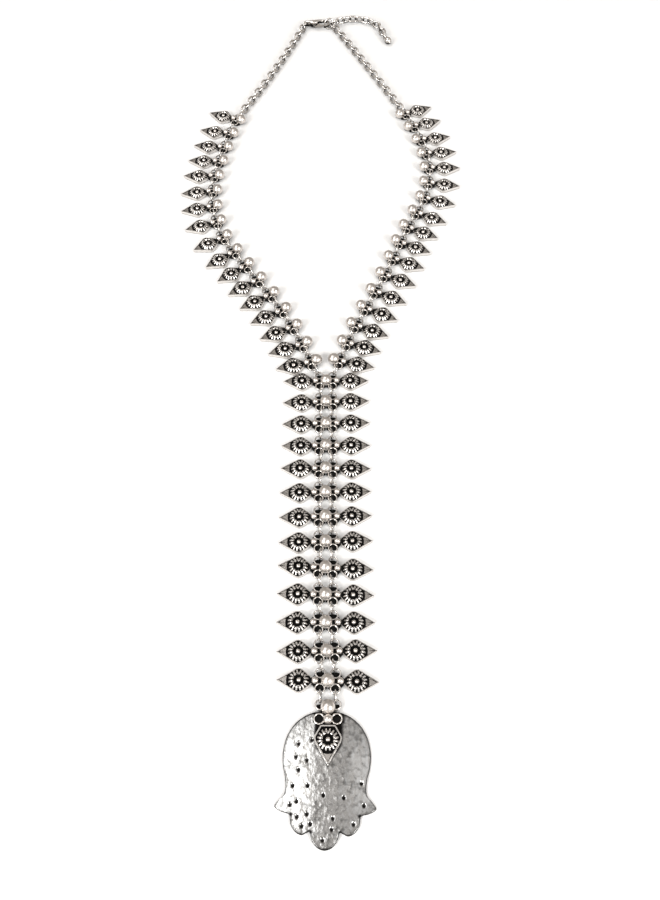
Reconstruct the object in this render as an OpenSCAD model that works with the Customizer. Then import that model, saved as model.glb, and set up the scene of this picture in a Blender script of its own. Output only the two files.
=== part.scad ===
// Long bib necklace: cast spike castings with rosettes, jump rings, trace chain,
// a hand pendant and a trigger clasp. Laid out flat, seen from above.
// Millimetres. X to the right, Y from the pendant up to the clasp, Z up from the table.

/* [Spikes] */
// from the middle of the big ball to the tip of the spike
spike_len = 20.7; // [19.5:0.1:21.5]
// half the width of the kite plate across its corners
kite_half = 5.5; // [5:0.05:5.6]
// top of the kite's raised rim above the table
rim_top = 1.9; // [1.6:0.1:2.2]
// width of the raised rim
rim_w = 0.55; // [0.4:0.05:0.8]
// radius of the big ball
ball_r = 2.8; // [2.5:0.05:2.85]
// radius of the small ball
bead_r = 1.4; // [1.2:0.05:1.45]
// distance of the rosette from the big ball
rosette_at = 11.65; // [11:0.05:12.2]

/* [Loops and jump rings] */
// radius of a cast loop, to the middle of its wire
loop_r = 1.9; // [1.8:0.05:2]
// radius of the cast loop's wire
loop_wire = 0.36; // [0.3:0.02:0.4]
// radius of a jump ring, to the middle of its wire
ring_r = 2.45; // [2.4:0.05:2.5]
// radius of the jump ring's wire
ring_wire = 0.3; // [0.24:0.02:0.32]
// lean of the column's jump rings from upright
ring_lean = 8; // [0:1:12]

/* [Column] */
// distance from one bar to the next
column_pitch = 12.15; // [12.05:0.05:12.3]
// distance from the pendant's ball to the lowest bar
pendant_gap = 10.45; // [10.3:0.05:10.6]

/* [Arms] */
// usual distance from one spike to the next along an arm
arm_pitch = 12.1; // [12:0.05:12.2]

/* [Pendant] */
// height of the hand
hand_len = 50; // [46:0.5:54]
// thickness of the hand
hand_thick = 1.5; // [1.2:0.1:1.8]

/* [Chain] */
// half the width of a link, to the middle of its wire
link_half = 1.83; // [1.8:0.01:1.95]
// radius of the link's wire
link_wire = 0.525; // [0.45:0.005:0.53]
// links in the left chain
left_links = 22; // [21:1:22]
// links in the right chain
right_links = 21; // [20:1:21]
// radius of the ball at the end of the extender
end_ball_r = 2.2; // [1.8:0.1:2.3]

/* [Clasp] */
// thickness of the clasp's body
clasp_thick = 2.2; // [2.1:0.1:2.4]
// opening of the clasp's lever in degrees
lever_open = 0; // [0:1:25]

/* [Hidden] */
$fn = 48;
metal = [0.72, 0.71, 0.68];
bright = [0.80, 0.79, 0.77];
bar_count = 13;
arm_count = 17;
loop_z = 1.8;
loop_at = 3.1;
ring_at = 2.5;
under_gap = 0.02;
column_low = 96.9;
column_x = -1.9;
// sideways shift and tilt of each bar, from the top bar down
bar_places = [[0, 0.4], [0, 1.6], [0, 1.2], [0, 0.4], [0, -0.4], [-0.1, 1.1],
  [-0.1, 1.4], [0, 1.3], [0, -3], [0, -1.2], [0.1, -0.3], [0.6, 0.6], [1.0, -1.4]];
// heading of each arm by the number of the spike, counted up from the column,
// what each step has more than the arm's usual pitch, and the lean of each spike
left_start = [-6.57, 254.9];
left_heads = [[0, 113], [2, 118], [4, 125], [6, 124], [7, 121], [8, 109.5], [9, 103], [10, 94.5],
  [12, 82], [14, 78], [15, 73]];
left_extra = [[0, 0], [3, 0.2], [6, -0.15], [8, -0.4], [11, -0.3], [15, -0.1]];
left_leans = [[0, -8.5], [1, -3.7], [2, -0.9], [4, -1.2], [5, -0.2], [6, 3.2], [7, 5], [8, 5.5],
  [9, 3], [10, 3.2], [11, 5.6], [12, 4.4], [13, 6.3], [15, 4.5], [16, -4]];
right_start = [1.78, 255.45];
right_heads = [[0, 70], [2, 65], [4, 65], [6, 70], [8, 64], [9, 67], [10, 76.5], [12, 95],
  [14, 109.5], [15, 112.5]];
right_extra = [[0, 0], [4, 0.35], [8, 0], [11, -0.4], [15, -0.3]];
right_leans = [[0, 6.3], [1, 2.1], [2, -0.4], [4, -2.4], [5, -2.2], [7, -4.2], [8, -2.8], [9, -2.5],
  [10, 0], [12, -0.7], [14, -7], [15, -2.8], [16, -1.5]];
// middle of the whole, so that the origin sits under it
middle = [-4.53, 283.46];

// ---- small helpers
function along(a) = [cos(a), sin(a)];
function rows(table, k) = lookup(k, table);
function edge_in(a, b) = [a[1] - b[1], b[0] - a[0]] / norm(b - a);
function crossing(p, u, q, v) = p + u * (cross(q - p, v) / cross(u, v));
function inset(pts, d) = [for (i = [0 : len(pts) - 1])
  let (a = pts[(i + len(pts) - 1) % len(pts)], b = pts[i], c = pts[(i + 1) % len(pts)])
  crossing(b + edge_in(a, b) * d, b - a, b + edge_in(b, c) * d, c - b)];

module tube_ring(r, wire) {
  rotate_extrude() translate([r, 0]) circle(r = wire);
}

// a ring whose plane holds the heading and leans from upright
module hung_ring(place, heading, lean, r, wire) {
  translate(place) rotate([0, 0, heading]) rotate([90 - lean, 0, 0]) tube_ring(r, wire);
}

// a jump ring standing between two cast loops
module jump_ring(a, b, lean) {
  mid = (a + b) / 2;
  turn = atan2(b[1] - a[1], b[0] - a[0]);
  stand = ring_r * cos(lean) + ring_wire + under_gap;
  hung_ring([mid[0], mid[1], stand], turn, lean, ring_r, ring_wire);
}

// ---- one spike, its ball at the origin and its tip on +x
kite = [[spike_len, 0], [11.9, kite_half - 0.2], [11, kite_half], [6.4, 1.5],
  [6.4, -1.5], [11, -kite_half], [11.9, 0.2 - kite_half]];
kite_low = 0.1;
kite_bed = 1.2;
petals = 16;

module rosette() {
  star = [for (i = [0 : 2 * petals - 1])
    along(i * 180 / petals) * (i % 2 == 0 ? 4.3 : 3.8)];
  translate([0, 0, kite_bed - 0.3]) linear_extrude(1.5) polygon(star);
  rotate_extrude() polygon([[2.2, 1], [3.85, 1], [3.85, 2.6], [3.3, 3], [2.7, 3], [2.2, 2.4]]);
  translate([0, 0, kite_bed - 0.3]) cylinder(r = 0.5, h = 1.2);
  translate([0, 0, 2.2]) sphere(r = 0.95);
}

module kite_plate() {
  translate([0, 0, kite_low]) linear_extrude(kite_bed - kite_low) polygon(kite);
  translate([0, 0, kite_bed - 0.2]) linear_extrude(rim_top - kite_bed + 0.2) difference() {
    polygon(kite);
    polygon(inset(kite, rim_w));
  }
}

module spike() {
  bridge_low = 0.9;
  translate([0, -1.35, bridge_low]) cube([7.2, 2.7, 1.2]);
  translate([5.1, 0, 2.6]) sphere(r = bead_r);
  kite_plate();
  translate([rosette_at, 0, 0]) rosette();
  for (s = [-1, 1]) translate([loop_at, s * loop_at, loop_z]) tube_ring(loop_r, loop_wire);
}

module ball() {
  translate([0, 0, ball_r + under_gap]) rotate([0, 0, 90]) sphere(r = ball_r);
}

// ---- where everything lies
function bar_spot(n) = [column_x + bar_places[n - 1][0], column_low + (bar_count - n) * column_pitch];
function bar_turn(n) = bar_places[n - 1][1];
function arm_spots(start, heads, extra) = [for (k = 0, p = start; k < arm_count;
  p = p + (arm_pitch + rows(extra, k)) * along(rows(heads, k)), k = k + 1) p];
function arm_turn(k, heads, leans, side) =
  (rows(heads, k) + rows(heads, max(k - 1, 0))) / 2 + side * 90 + rows(leans, k);
function turned(p, a) = [p[0] * cos(a) - p[1] * sin(a), p[0] * sin(a) + p[1] * cos(a)];
left_spots = arm_spots(left_start, left_heads, left_extra);
right_spots = arm_spots(right_start, right_heads, right_extra);
function left_turn(k) = arm_turn(k, left_heads, left_leans, 1);
function right_turn(k) = arm_turn(k, right_heads, right_leans, -1);
// the loop above a spike or below it
function left_loop(k, up) = left_spots[k] + turned([loop_at, -up * loop_at], left_turn(k));
function right_loop(k, up) = right_spots[k] + turned([loop_at, up * loop_at], right_turn(k));
function bar_loop(n, side, up, out) = bar_spot(n) + turned([side * out, up * loop_at], bar_turn(n));

module placed() {
  translate([-middle[0], -middle[1], 0]) children();
}

// ---- the pieces
module bar(n) {
  color(metal) placed() translate([bar_spot(n)[0], bar_spot(n)[1], 0]) rotate([0, 0, bar_turn(n)]) {
    ball();
    spike();
    rotate([0, 0, 180]) spike();
  }
}

module left_arm_spikes() {
  color(metal) placed() for (k = [0 : arm_count - 1])
    translate([left_spots[k][0], left_spots[k][1], 0]) rotate([0, 0, left_turn(k)]) {
      ball();
      spike();
    }
}

module right_arm_spikes() {
  color(metal) placed() for (k = [0 : arm_count - 1])
    translate([right_spots[k][0], right_spots[k][1], 0]) rotate([0, 0, right_turn(k)]) {
      ball();
      spike();
    }
}

module column_rings() {
  color(bright) placed() {
    for (n = [1 : bar_count - 1], s = [-1, 1])
      jump_ring(bar_loop(n + 1, s, 1, ring_at), bar_loop(n, s, -1, ring_at), s * ring_lean);
    for (s = [-1, 1])
      jump_ring(pendant_loop(s), bar_loop(bar_count, s, -1, loop_at), 0);
  }
}

module left_arm_rings() {
  color(bright) placed() {
    jump_ring(bar_loop(1, -1, 1, loop_at), left_loop(0, -1), 0);
    for (k = [0 : arm_count - 2]) jump_ring(left_loop(k, 1), left_loop(k + 1, -1), 0);
  }
}

module right_arm_rings() {
  color(bright) placed() {
    jump_ring(bar_loop(1, 1, 1, loop_at), right_loop(0, -1), 0);
    for (k = [0 : arm_count - 2]) jump_ring(right_loop(k, 1), right_loop(k + 1, -1), 0);
  }
}

// ---- pendant: a hand pointing down, with a spike casting soldered on it
pendant_spot = [-0.8, column_low - pendant_gap];
function pendant_loop(side) = pendant_spot + [side * loop_at, 1];
// half width and height of the hand, from the lowest finger tip to the top
hand_rows = [[0, 0], [2.7, 0.9], [4.6, 3.2], [5.6, 6], [6.9, 5.7], [8.7, 5], [11, 6.1], [12.7, 8.6],
  [13.4, 11.9], [15.9, 12.9], [17.7, 13.9], [18.35, 15.2], [16.9, 17.3], [15.6, 19], [15.2, 21.5],
  [15.6, 25], [16.6, 29.2], [16.9, 34], [15.9, 39.4], [13.6, 43.8], [10.2, 47.1], [5.6, 49.3], [0, 50]];
hand_top = 85.2;
hand_x = -1.75;
// one point on a smooth curve through four points
function curve(a, b, c, d, t) = b + t * ((c - a) / 2
  + t * (a - 2.5 * b + 2 * c - d / 2 + t * (1.5 * b - 1.5 * c + (d - a) / 2)));
function hand_point(i) = i < 0 ? [-hand_rows[-i][0], hand_rows[-i][1]]
  : i >= len(hand_rows) ? [-hand_rows[2 * len(hand_rows) - 2 - i][0], hand_rows[2 * len(hand_rows) - 2 - i][1]]
  : hand_rows[i];
hand_side = [for (i = [0 : len(hand_rows) - 2], t = [0 : 2])
  curve(hand_point(i - 1), hand_point(i), hand_point(i + 1), hand_point(i + 2), t / 3)];
hand_scale = hand_len / 50;

module hand() {
  other = [for (i = [len(hand_side) - 1 : -1 : 1]) [-hand_side[i][0], hand_side[i][1]]];
  outline = concat(hand_side, [[0, 50]], other);
  translate([hand_x, hand_top - hand_len, 0]) linear_extrude(hand_thick)
    polygon([for (p = outline) p * hand_scale]);
}

pendant_kite = [[0, -22], [-5.3, -12], [-5.1, -10.9], [-2.9, -6.5], [2.9, -6.5], [5.1, -10.9], [5.3, -12]];

module pendant() {
  bed = hand_thick + 0.9;
  rim = hand_thick + 1.8;
  color(metal) placed() {
    hand();
    translate([pendant_spot[0], pendant_spot[1], 0]) {
      translate([0, 0, 2.97]) rotate([0, 0, 90]) sphere(r = 2.95);
      translate([-1.5, -7.2, 0.8]) cube([3, 7.2, 2]);
      translate([0, -4.8, 3.1]) rotate([0, 0, 45]) sphere(r = 1.9);
      translate([0, 0, hand_thick - 0.3]) linear_extrude(bed - hand_thick + 0.3) polygon(pendant_kite);
      translate([0, 0, bed - 0.2]) linear_extrude(rim - bed + 0.2) difference() {
        polygon(pendant_kite);
        polygon(inset(pendant_kite, rim_w));
      }
      translate([0, -12.6, hand_thick - 0.2]) rosette();
      for (s = [-1, 1]) {
        translate([s * loop_at, 1, loop_z]) tube_ring(loop_r, loop_wire);
        translate([s * 3.4, -4.5, hand_thick + 0.3]) tube_ring(1.75, 0.4);
        translate([s * 1.2 - 0.6, -5.1, 0.8]) cube([1.2, 1.2, 1.6]);
      }
    }
  }
}

// ---- chains
module link(place, heading, roll, half_len) {
  straight = half_len - link_half;
  translate(place) rotate([0, 0, heading]) rotate([roll, 0, 0]) {
    for (s = [0, 180]) rotate([0, 0, s]) {
      translate([straight, 0, 0]) rotate([0, 0, -90]) rotate_extrude(angle = 180)
        translate([link_half, 0]) circle(r = link_wire);
      translate([-straight, link_half, 0]) rotate([0, 90, 0]) cylinder(r = link_wire, h = 2 * straight);
    }
  }
}

// room between the middles of two wires that hook round one another
hook_room = 1.25;
chain_z = 1.85;

// a run of links between two tips, bowed to one side, rolled this way and that
module chain_run(a, b, links, bow, first_roll) {
  reach = norm(b - a);
  turn = atan2(b[1] - a[1], b[0] - a[0]);
  step = round((reach - hook_room) / links * 500) / 500;
  half_len = (step + hook_room) / 2;
  for (k = [0 : links - 1]) {
    t = (half_len + k * step) / reach;
    off = 4 * bow * t * (1 - t);
    p = a + (b - a) * t + off * along(turn + 90);
    link([p[0], p[1], chain_z], turn + atan(4 * bow * (1 - 2 * t) / reach),
      k % 2 == 0 ? first_roll : -first_roll, half_len);
  }
}

tip_room = 0.5;

module left_chain() {
  start = left_loop(arm_count - 1, 1);
  turn = atan2(left_ring_tip[1] - start[1], left_ring_tip[0] - start[0]);
  color(bright) placed() chain_run(start + tip_room * along(turn - 4), left_ring_tip, left_links, -1.5, -45);
}

module right_chain() {
  start = right_loop(arm_count - 1, 1);
  turn = atan2(start[1] - right_tip[1], start[0] - right_tip[0]);
  color(bright) placed() chain_run(right_tip, start - tip_room * along(turn), right_links, 0.5, 45);
}

// ---- clasp, its eye at the left and its hook at the right
clasp_spot = [-15, 524.3];
clasp_z = 2.3;
hook_at = 11.4;
hook_in = 2.1;
hook_out = 3.4;
thin = 1.3;
pivot = [4.6, -1];
pin_r = 0.35;
pin_gap = 0.05;
slot = 1.1;
lever_thick = 1;

module hook_outline() {
  intersection() {
    difference() {
      translate([hook_at, 0]) circle(r = hook_out);
      translate([hook_at, 0]) circle(r = hook_in);
    }
    polygon([[hook_at - 0.5, 4], [hook_at - 0.5, 0], [hook_at - 0.5, -4], [16, -4], [16, 4]]);
  }
}

module clasp_body() {
  color(bright) placed() translate([clasp_spot[0], clasp_spot[1], clasp_z]) {
    translate([0, 0, -thin / 2]) linear_extrude(thin) {
      difference() {
        union() {
          circle(r = 1.9);
          polygon([[1, 1.5], [3.2, 1.2], [3.2, -1.2], [1, -1.5]]);
        }
        circle(r = 1.1);
      }
      hook_outline();
      polygon([[6, 2.7], [8.4, 3.3], [hook_at - 0.4, 3.38], [hook_at - 0.4, 2.1], [8.6, 1.5], [6, 1]]);
    }
    difference() {
      translate([0, 0, -clasp_thick / 2]) linear_extrude(clasp_thick) {
        translate([4.6, 0]) circle(r = 2.4);
        polygon([[2.6, 1.3], [4.6, 2.4], [8, 3.1], [8, 1.4], [6.4, 0.6], [6.4, -1.2], [4.6, -2.4], [2.6, -1.3]]);
      }
      translate([pivot[0], pivot[1], -slot / 2]) cylinder(r = 1.35, h = slot);
      translate([pivot[0], pivot[1], -slot / 2]) linear_extrude(slot)
        polygon([[-0.6, -1.2], [-0.6, -4], [4.5, -4], [4.5, 2.2], [0.6, 1.34]]);
    }
    translate([pivot[0], pivot[1], -clasp_thick / 2]) cylinder(r = pin_r, h = clasp_thick);
  }
}

module clasp_lever() {
  color(bright) placed() translate([clasp_spot[0] + pivot[0], clasp_spot[1] + pivot[1], clasp_z])
    rotate([0, 0, lever_open]) translate([0, 0, -lever_thick / 2]) difference() {
      union() {
        cylinder(r = 1.15, h = lever_thick);
        linear_extrude(lever_thick)
          polygon([[0.2, 0.9], [3.4, 0.2], [5.9, -1], [5.9, -2.05], [4.2, -2.35], [1.9, -2.3], [-0.4, -0.8]]);
        translate([1.3, -2.3, 0]) cylinder(r = 0.6, h = lever_thick);
      }
      translate([0, 0, -1]) cylinder(r = pin_r + pin_gap, h = lever_thick + 2);
    }
}

// ---- rings at the clasp
function flat(p) = [p[0], p[1]];
// a point inside a hung ring, at an angle up from its heading
function in_ring(place, heading, lean, angle, reach) = place
  + reach * cos(angle) * [cos(heading), sin(heading), 0]
  + reach * sin(angle) * [-sin(heading) * sin(lean), cos(heading) * sin(lean), cos(lean)];
end_wire = 0.4;
eye_ring_turn = -128.6;
eye_ring_r = 2.15;
eye_ring_lean = 30;
eye_ring_xy = clasp_spot + 1.85 * along(eye_ring_turn);
eye_ring_spot = [eye_ring_xy[0], eye_ring_xy[1], eye_ring_r * cos(eye_ring_lean) + end_wire + under_gap];
left_ring_tip = flat(in_ring(eye_ring_spot, eye_ring_turn, eye_ring_lean, -30, 0.95));
hook_ring_r = 3;
hook_ring_wire = 0.45;
hook_ring_turn = -2.9;
hook_ring_lean = 50.8;
hook_ring_xy = clasp_spot + [hook_at + 3.18, 0];
hook_ring_spot = [hook_ring_xy[0], hook_ring_xy[1],
  hook_ring_r * cos(hook_ring_lean) + hook_ring_wire + under_gap];
join_turn = -47;
join_roll = -38;
join_r = 2.2;
join_tip = in_ring(hook_ring_spot, hook_ring_turn, hook_ring_lean, -41, 1.37);
join_spot = join_tip + [join_r * cos(join_turn), join_r * sin(join_turn), 0];
right_tip = flat(join_tip) + 2.91 * along(join_turn) + 0.37 * along(join_turn + 90);

module clasp_rings() {
  color(bright) placed() {
    hung_ring(eye_ring_spot, eye_ring_turn, eye_ring_lean, eye_ring_r, end_wire);
    hung_ring(hook_ring_spot, hook_ring_turn, hook_ring_lean, hook_ring_r, hook_ring_wire);
    translate(join_spot) rotate([0, 0, join_turn]) rotate([join_roll, 0, 0]) tube_ring(join_r, end_wire);
  }
}

// ---- extender: loose links that curl round to a small ball
// heading of each link and its roll
extender_rows = [[28.6, -56], [24, 18], [12, -72], [2, 18], [-10, -72], [-20, 18], [-34, -72], [-48, 18],
  [-66, -72], [-78, 18], [-72, -72]];
extender_last = len(extender_rows) - 1;
extender_pitch = 4.2;
extender_half = (extender_pitch + hook_room) / 2;
extender_z = 2.3;
extender_tip = in_ring(hook_ring_spot, hook_ring_turn, hook_ring_lean, 14.2, 1.14);
function extender_way(k) = along(extender_rows[min(k, extender_last)][0]);
extender_spots = [for (k = 0, p = flat(extender_tip) + extender_half * extender_way(0); k <= extender_last;
  p = p + extender_pitch / 2 * (extender_way(k) + extender_way(k + 1)), k = k + 1) p];

module extender_chain() {
  color(bright) placed() for (k = [0 : extender_last])
    link([extender_spots[k][0], extender_spots[k][1], rows([[0, extender_tip[2]], [2, extender_z]], k)],
      extender_rows[k][0], extender_rows[k][1], extender_half);
}

module end_ball() {
  turn = extender_rows[extender_last][0] + 12;
  eye = extender_spots[extender_last] + (extender_half - 0.1) * extender_way(extender_last);
  spot = eye + (end_ball_r + 0.75) * along(turn);
  color(bright) placed() {
    translate([spot[0], spot[1], end_ball_r + under_gap]) {
      sphere(r = end_ball_r);
      rotate([0, 0, turn]) rotate([0, 90, 0]) cylinder(r = 0.6, h = end_ball_r + 0.5);
    }
    translate([eye[0], eye[1], extender_z]) rotate([0, 0, turn]) rotate([18, 0, 0]) tube_ring(1.2, 0.35);
  }
}

bar(1);  // bar_01
bar(2);  // bar_02
bar(3);  // bar_03
bar(4);  // bar_04
bar(5);  // bar_05
bar(6);  // bar_06
bar(7);  // bar_07
bar(8);  // bar_08
bar(9);  // bar_09
bar(10);  // bar_10
bar(11);  // bar_11
bar(12);  // bar_12
bar(13);  // bar_13
left_arm_spikes();
right_arm_spikes();
column_rings();
left_arm_rings();
right_arm_rings();
pendant();
left_chain();
right_chain();
clasp_body();
clasp_lever();
clasp_rings();
extender_chain();
end_ball();
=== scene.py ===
from math import atan2, cos, degrees, hypot, pi, radians, sin
import bpy
from mathutils import Matrix, Vector, noise


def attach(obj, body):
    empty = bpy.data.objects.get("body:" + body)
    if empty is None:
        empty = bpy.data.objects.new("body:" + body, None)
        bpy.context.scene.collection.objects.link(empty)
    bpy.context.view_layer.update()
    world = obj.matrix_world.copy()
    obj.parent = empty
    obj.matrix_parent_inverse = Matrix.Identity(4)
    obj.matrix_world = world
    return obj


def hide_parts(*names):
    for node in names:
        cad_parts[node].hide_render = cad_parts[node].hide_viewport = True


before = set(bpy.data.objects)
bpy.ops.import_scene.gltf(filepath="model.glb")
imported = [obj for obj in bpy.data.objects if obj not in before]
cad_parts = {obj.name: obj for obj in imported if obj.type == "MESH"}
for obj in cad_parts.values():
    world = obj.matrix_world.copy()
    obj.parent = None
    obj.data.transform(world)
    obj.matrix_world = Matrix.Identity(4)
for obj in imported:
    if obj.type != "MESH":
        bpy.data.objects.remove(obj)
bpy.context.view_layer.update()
print("frame loaded")

# spots are millimetres on the table, with the camera above x 0, y 0; this one is the necklace's middle
middle = (-4.53, 283.46)
floorGap = 0.02  # what lies on the table stays this far above it


def placeAt(x, y, turn=0.0):
    return Matrix.Translation((x - middle[0], y - middle[1], 0)) @ Matrix.Rotation(radians(turn), 4, "Z")


# gathers shapes in millimetres and makes one object of them
class Piece:
    def __init__(self, name):
        self.name = name
        self.points = []
        self.faces = []
        self.finish = []

    def add(self, shape, place):
        first = len(self.points)
        points, faces, finish = shape
        self.points += [place @ Vector(p) for p in points]
        self.faces += [[first + i for i in f] for f in faces]
        self.finish += finish

    def build(self, finishes, body, nodes, sharp=38):
        mesh = bpy.data.meshes.new(self.name)
        mesh.from_pydata([p * 0.001 for p in self.points], [], self.faces)
        mesh.validate()
        for m in finishes:
            mesh.materials.append(m)
        mesh.polygons.foreach_set("material_index", self.finish)
        mesh.polygons.foreach_set("use_smooth", [True] * len(mesh.polygons))
        mesh.set_sharp_from_angle(angle=radians(sharp))
        mesh.update()
        obj = bpy.data.objects.new(self.name, mesh)
        bpy.context.scene.collection.objects.link(obj)
        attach(obj, body)
        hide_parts(*nodes)
        return obj


plain = 0  # finish number of a piece's own metal, where that is its first or only one


# a shape is its points, its faces and the finish number of each face
def skin(loops, finish, closeStart=False, closeEnd=False):
    # finish is one number, or a list with one for each band between two loops
    n = len(loops[0])
    bands = finish if isinstance(finish, list) else [finish] * (len(loops) - 1)
    points = [p for loop in loops for p in loop]
    faces, marks = [], []
    for k, band in enumerate(bands):
        for i in range(n):
            j = (i + 1) % n
            faces.append([k * n + i, k * n + j, (k + 1) * n + j, (k + 1) * n + i])
            marks.append(band)
    if closeStart:
        faces.append(list(range(n))[::-1])
        marks.append(bands[0])
    if closeEnd:
        faces.append([(len(loops) - 1) * n + i for i in range(n)])
        marks.append(bands[-1])
    return points, faces, marks


def ballShape(r, centre, finish, sides=28, rows=16):
    x, y, z = centre
    loops = []
    for k in range(1, rows):
        a = pi * k / rows
        loops.append([(x + r * sin(a) * cos(2 * pi * i / sides), y + r * sin(a) * sin(2 * pi * i / sides),
                       z - r * cos(a)) for i in range(sides)])
    points, faces, marks = skin(loops, finish)
    low, high = len(points), len(points) + 1
    points += [(x, y, z - r), (x, y, z + r)]
    last = (rows - 2) * sides
    for i in range(sides):
        j = (i + 1) % sides
        faces += [[low, j, i], [high, last + i, last + j]]
        marks += [finish, finish]
    return points, faces, marks


def tubeShape(path, wire, finish, sides=12):
    # a closed tube round a closed path of points
    n = len(path)
    path = [Vector(p) for p in path]
    centre = sum(path, Vector()) / n
    normal = (path[0] - centre).cross(path[n // 4] - centre).normalized()
    points, faces = [], []
    for i in range(n):
        way = (path[(i + 1) % n] - path[i - 1]).normalized()
        out = way.cross(normal).normalized()
        for s in range(sides):
            a = 2 * pi * s / sides
            points.append(tuple(path[i] + out * (wire * cos(a)) + normal * (wire * sin(a))))
    for i in range(n):
        j = (i + 1) % n
        for s in range(sides):
            t = (s + 1) % sides
            faces.append([i * sides + s, i * sides + t, j * sides + t, j * sides + s])
    return points, faces, [finish] * len(faces)


def ringPath(r, steps):
    return [(r * cos(2 * pi * i / steps), r * sin(2 * pi * i / steps), 0) for i in range(steps)]


def moved(shape, x, y, z):
    points, faces, finish = shape
    return [Vector(p) + Vector((x, y, z)) for p in points], faces, finish


def inset(outline, d):
    n = len(outline)
    sharpest = 0.35  # keeps the corner of a narrow tip from running away
    result = []
    for i in range(n):
        a, b, c = outline[i - 1], outline[i], outline[(i + 1) % n]
        u = Vector((b[0] - a[0], b[1] - a[1])).normalized()
        v = Vector((c[0] - b[0], c[1] - b[1])).normalized()
        side = Vector((-u[1], u[0]))
        half = (side + Vector((-v[1], v[0]))).normalized()
        turn = max(half.dot(side), sharpest)
        result.append((b[0] + half[0] * d / turn, b[1] + half[1] * d / turn))
    return result


def rounded(corners, radii, steps=5):
    # each corner becomes a short curve that starts and ends its radius away along the sides
    result = []
    n = len(corners)
    for i, r in enumerate(radii):
        a, b, c = Vector(corners[i - 1]), Vector(corners[i]), Vector(corners[(i + 1) % n])
        p = b + (a - b).normalized() * r
        q = b + (c - b).normalized() * r
        for k in range(steps):
            t = k / (steps - 1)
            result.append(tuple(p * (1 - t) ** 2 + b * (2 * t * (1 - t)) + q * t ** 2))
    return result


def dense(outline, step):
    # more points along the long sides
    result = []
    for i, a in enumerate(outline):
        b = outline[(i + 1) % len(outline)]
        wide, high = b[0] - a[0], b[1] - a[1]
        count = max(1, round(hypot(wide, high) / step))
        result += [(a[0] + wide * k / count, a[1] + high * k / count) for k in range(count)]
    return result


def curveThrough(rows, steps, closed=False):
    # a smooth run through all the rows
    n = len(rows)
    result = []
    for i in range(n if closed else n - 1):
        near = [(i + k) % n if closed else min(max(i + k, 0), n - 1) for k in (-1, 0, 1, 2)]
        a, b, c, d = (Vector(rows[k]) for k in near)
        for k in range(steps):
            t = k / steps
            bend = a - 2.5 * b + 2 * c - d / 2 + t * (1.5 * b - 1.5 * c + (d - a) / 2)
            result.append(b + t * ((c - a) / 2 + t * bend))
    return result if closed else result + [Vector(rows[-1])]


def level(outline, z):
    return [(p[0], p[1], z) for p in outline]


def smooth(a, b, x):
    t = min(1, max(0, (x - a) / (b - a)))
    return t * t * (3 - 2 * t)


# finish numbers of a casting, in the order of its materials
polished, oxideAndShadow, satin, underShaded, sideShaded = range(5)

# one spike casting, its big ball at 0 and its tip on +x
spikeLook = {
    "length": 20.7,
    "halfWidth": 5.5,
    "widestAt": 11.5,
    "root": 6.4,
    "rootHalf": 1.5,
    "cornerRadii": [0.35, 1.9, 0.5, 0.5, 1.9],
    "rimWidth": 0.5,
    "rimTop": 1.9,
    "bed": 1.15,
    "fieldTop": 1.72,
    "recess": 5.05,
    "ball": 2.8,
    "bead": 1.4,
    "beadAt": 5.1,
    "beadHeight": 2.6,
    "rosetteAt": 11.65,
    "loop": 1.9,
    "loopAt": 3.1,
    "loopWire": 0.36,
    "loopHeight": 1.8,
    "bridge": {"x0": 0.5, "x1": 7.2, "half": 1.35, "low": 0.9, "high": 2.1},
    # a black sheet between ball, bead and loops: partly dark metal, partly a painted shadow
    "shadowWeb": [(7.0, 0.5), (4.5, 3.7), (1.8, 3.7), (0.2, 2.7),
            (0.2, -2.7), (1.8, -3.7), (4.5, -3.7), (7.0, -0.5)],
    "shadowWebRadii": [0.2, 0.9, 0.9, 0.2, 0.2, 0.9, 0.9, 0.2],
    "shadowWebLow": 0.3,
    "shadowWebTop": 1.3,
}
# two numbers in brackets are where something starts and where it is full
rosetteLook = {
    "petals": 16,
    "stepsAround": 10,  # of each petal
    "outer": 4.3,
    "outerWall": 0.04,
    "inner": 2.0,
    "innerWall": 0.12,
    "middle": 1.1,
    "steps": (2.12, 2.35, 2.7, 3.0, 3.3, 3.6, 3.88, 4.12),  # radii between inner and outer
    "top": 3.0,
    "edgeTop": 1.95,
    "slope": 2.9,  # from here the petals fall to their outer edge
    "crown": 0.28,  # how much lower a petal is along its sides
    "crownBand": (2.5, 3.4),
    "lipHeight": 0.75,
    "lipDrop": 0.35,
    "lipBand": 2.4,
    "outerStep": 0.45,
    "foot": -0.15,
    "floor": 1.25,
    "groove": 0.42,
    "grooveLeast": 0.03,
    "grooveBand": (2.4, 4.0),
    "grooveWalls": (0.9, 1.02),
    "cutFloor": 0.1,
    "blackFrom": 0.45,  # of a cut's full depth
    "scallop": 0.05,
    "scallopBand": (3.6, 4.1),
    "notches": 10,
    "notchWalls": (0.6, 0.86),
    "notchBand": (2.36, 2.68),
    "bead": 0.95,
    "beadHeight": 2.2,
}


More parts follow.
